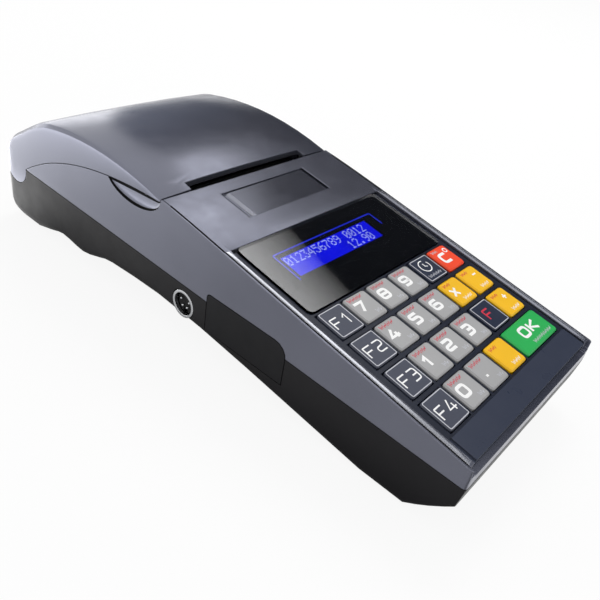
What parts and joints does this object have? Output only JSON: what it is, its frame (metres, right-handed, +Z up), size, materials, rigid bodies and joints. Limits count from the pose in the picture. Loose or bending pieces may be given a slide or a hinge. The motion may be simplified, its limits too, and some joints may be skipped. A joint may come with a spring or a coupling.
{
  "type": "cash register",
  "caption": "Compact portable cash register with a receipt printer under a hinged lid, a sloped keypad, a backlit display and side sockets under a flap.",
  "frame": {"origin": "middle of the underside, at the level of the feet", "axes": "+X to the user's right, +Y from the front edge towards the printer, +Z up"},
  "size_m": [0.0828, 0.2186, 0.0539],
  "materials": {
    "lower_case": "fine satin charcoal",
    "housing": "satin metallic blue-grey paint",
    "bezel": "gloss dark navy",
    "window": "high gloss black",
    "display": "backlit blue",
    "silicone": "matt",
    "circuit_board": "solder resist",
    "key_dark": "satin slate blue",
    "key_grey": "satin light grey",
    "key_red": "satin red-orange",
    "key_yellow": "satin yellow",
    "key_green": "satin green",
    "steel": "brushed",
    "inner_plastic": "matt",
    "paper": "smooth thermal paper",
    "heat_sink": "sawn",
    "gear_plastic": "natural",
    "jack_metal": "polished",
    "flap": "matt near-black",
    "foot_rubber": "matt",
    "screw_steel": "zinc plated"
  },
  "bodies": {
    "case": {"lower_case": "lower_case", "upper_case": "housing", "top_frame": "housing", "keypad_bezel": "bezel", "display_window": "window", "display_module": "display", "key_mat": "silicone", "key_board": "circuit_board", "hinge_pin": "steel", "paper_bay": "inner_plastic", "printer_frame": "steel", "print_head": "heat_sink", "tear_bar": "steel", "feed_motor": "steel", "main_board": "circuit_board", "data_socket": "steel", "line_socket": "steel", "jack_shell": "jack_metal", "jack_insert": "inner_plastic", "battery_pack": "inner_plastic", "front_left_foot": "foot_rubber", "front_right_foot": "foot_rubber", "rear_left_foot": "foot_rubber", "rear_right_foot": "foot_rubber", "front_left_screw": "screw_steel", "front_right_screw": "screw_steel", "rear_left_screw": "screw_steel", "rear_right_screw": "screw_steel"},
    "lid": {"paper_lid": "housing"},
    "platen": {"platen_roller": "silicone", "platen_shaft": "steel", "platen_gear": "gear_plastic"},
    "feed_gear": {"drive_gear": "gear_plastic"},
    "pinion": {"motor_pinion": "gear_plastic"},
    "roll": {"paper_roll": "paper"},
    "flap": {"port_flap": "flap"},
    "button_f1": {"key_f1": "key_dark"},
    "button_7": {"key_7": "key_grey"},
    "button_8": {"key_8": "key_grey"},
    "button_9": {"key_9": "key_grey"},
    "button_clock": {"key_clock": "key_dark"},
    "button_clear": {"key_clear": "key_red"},
    "button_f2": {"key_f2": "key_dark"},
    "button_4": {"key_4": "key_grey"},
    "button_5": {"key_5": "key_grey"},
    "button_6": {"key_6": "key_grey"},
    "button_times": {"key_times": "key_yellow"},
    "button_minus": {"key_minus": "key_yellow"},
    "button_f3": {"key_f3": "key_dark"},
    "button_1": {"key_1": "key_grey"},
    "button_2": {"key_2": "key_grey"},
    "button_3": {"key_3": "key_grey"},
    "button_function": {"key_function": "key_dark"},
    "button_plus": {"key_plus": "key_yellow"},
    "button_f4": {"key_f4": "key_dark"},
    "button_0": {"key_0": "key_grey"},
    "button_point": {"key_point": "key_grey"},
    "button_total": {"key_total": "key_yellow"},
    "button_ok": {"key_ok": "key_green"}
  },
  "joints": [
    {"name": "lid_hinge", "type": "hinge", "parent": "case", "child": "lid", "pos_m": [0, 0.10175, 0.025], "axis": [-1, 0, 0], "range_deg": [0, 75]},
    {"name": "platen_spin", "type": "hinge", "parent": "lid", "child": "platen", "pos_m": [0, 0.01895, 0.0384], "axis": [1, 0, 0], "continuous": true},
    {"name": "feed_gear_spin", "type": "hinge", "parent": "case", "child": "feed_gear", "pos_m": [0, 0.0169, 0.02576], "axis": [1, 0, 0], "continuous": true},
    {"name": "pinion_spin", "type": "hinge", "parent": "case", "child": "pinion", "pos_m": [0, 0.00571, 0.02576], "axis": [1, 0, 0], "continuous": true},
    {"name": "roll_spin", "type": "hinge", "parent": "case", "child": "roll", "pos_m": [0, 0.06175, 0.0296], "axis": [1, 0, 0], "continuous": true},
    {"name": "flap_hinge", "type": "hinge", "parent": "case", "child": "flap", "pos_m": [-0.0414, -0.02985, 0.0116], "axis": [0, -1, 0], "range_deg": [0, 100]},
    {"name": "press_f1", "type": "slide", "parent": "case", "child": "button_f1", "axis": [0, 0.1719, -0.9851], "range_m": [0, 0.001], "stiffness_N_per_m": 200, "springref_m": -0.001},
    {"name": "press_7", "type": "slide", "parent": "case", "child": "button_7", "axis": [0, 0.1719, -0.9851], "range_m": [0, 0.001], "stiffness_N_per_m": 200, "springref_m": -0.001},
    {"name": "press_8", "type": "slide", "parent": "case", "child": "button_8", "axis": [0, 0.1719, -0.9851], "range_m": [0, 0.001], "stiffness_N_per_m": 200, "springref_m": -0.001},
    {"name": "press_9", "type": "slide", "parent": "case", "child": "button_9", "axis": [0, 0.1719, -0.9851], "range_m": [0, 0.001], "stiffness_N_per_m": 200, "springref_m": -0.001},
    {"name": "press_clock", "type": "slide", "parent": "case", "child": "button_clock", "axis": [0, 0.1719, -0.9851], "range_m": [0, 0.001], "stiffness_N_per_m": 200, "springref_m": -0.001},
    {"name": "press_clear", "type": "slide", "parent": "case", "child": "button_clear", "axis": [0, 0.1719, -0.9851], "range_m": [0, 0.001], "stiffness_N_per_m": 200, "springref_m": -0.001},
    {"name": "press_f2", "type": "slide", "parent": "case", "child": "button_f2", "axis": [0, 0.1719, -0.9851], "range_m": [0, 0.001], "stiffness_N_per_m": 200, "springref_m": -0.001},
    {"name": "press_4", "type": "slide", "parent": "case", "child": "button_4", "axis": [0, 0.1719, -0.9851], "range_m": [0, 0.001], "stiffness_N_per_m": 200, "springref_m": -0.001},
    {"name": "press_5", "type": "slide", "parent": "case", "child": "button_5", "axis": [0, 0.1719, -0.9851], "range_m": [0, 0.001], "stiffness_N_per_m": 200, "springref_m": -0.001},
    {"name": "press_6", "type": "slide", "parent": "case", "child": "button_6", "axis": [0, 0.1719, -0.9851], "range_m": [0, 0.001], "stiffness_N_per_m": 200, "springref_m": -0.001},
    {"name": "press_times", "type": "slide", "parent": "case", "child": "button_times", "axis": [0, 0.1719, -0.9851], "range_m": [0, 0.001], "stiffness_N_per_m": 200, "springref_m": -0.001},
    {"name": "press_minus", "type": "slide", "parent": "case", "child": "button_minus", "axis": [0, 0.1719, -0.9851], "range_m": [0, 0.001], "stiffness_N_per_m": 200, "springref_m": -0.001},
    {"name": "press_f3", "type": "slide", "parent": "case", "child": "button_f3", "axis": [0, 0.1719, -0.9851], "range_m": [0, 0.001], "stiffness_N_per_m": 200, "springref_m": -0.001},
    {"name": "press_1", "type": "slide", "parent": "case", "child": "button_1", "axis": [0, 0.1719, -0.9851], "range_m": [0, 0.001], "stiffness_N_per_m": 200, "springref_m": -0.001},
    {"name": "press_2", "type": "slide", "parent": "case", "child": "button_2", "axis": [0, 0.1719, -0.9851], "range_m": [0, 0.001], "stiffness_N_per_m": 200, "springref_m": -0.001},
    {"name": "press_3", "type": "slide", "parent": "case", "child": "button_3", "axis": [0, 0.1719, -0.9851], "range_m": [0, 0.001], "stiffness_N_per_m": 200, "springref_m": -0.001},
    {"name": "press_function", "type": "slide", "parent": "case", "child": "button_function", "axis": [0, 0.1719, -0.9851], "range_m": [0, 0.001], "stiffness_N_per_m": 200, "springref_m": -0.001},
    {"name": "press_plus", "type": "slide", "parent": "case", "child": "button_plus", "axis": [0, 0.1719, -0.9851], "range_m": [0, 0.001], "stiffness_N_per_m": 200, "springref_m": -0.001},
    {"name": "press_f4", "type": "slide", "parent": "case", "child": "button_f4", "axis": [0, 0.1719, -0.9851], "range_m": [0, 0.001], "stiffness_N_per_m": 200, "springref_m": -0.001},
    {"name": "press_0", "type": "slide", "parent": "case", "child": "button_0", "axis": [0, 0.1719, -0.9851], "range_m": [0, 0.001], "stiffness_N_per_m": 200, "springref_m": -0.001},
    {"name": "press_point", "type": "slide", "parent": "case", "child": "button_point", "axis": [0, 0.1719, -0.9851], "range_m": [0, 0.001], "stiffness_N_per_m": 200, "springref_m": -0.001},
    {"name": "press_total", "type": "slide", "parent": "case", "child": "button_total", "axis": [0, 0.1719, -0.9851], "range_m": [0, 0.001], "stiffness_N_per_m": 200, "springref_m": -0.001},
    {"name": "press_ok", "type": "slide", "parent": "case", "child": "button_ok", "axis": [0, 0.1719, -0.9851], "range_m": [0, 0.001], "stiffness_N_per_m": 200, "springref_m": -0.001}
  ],
  "couplings": [
    {"joint": "platen_spin", "follows": "feed_gear_spin", "ratio": -1.2857},
    {"joint": "pinion_spin", "follows": "feed_gear_spin", "ratio": -1.8}
  ]
}
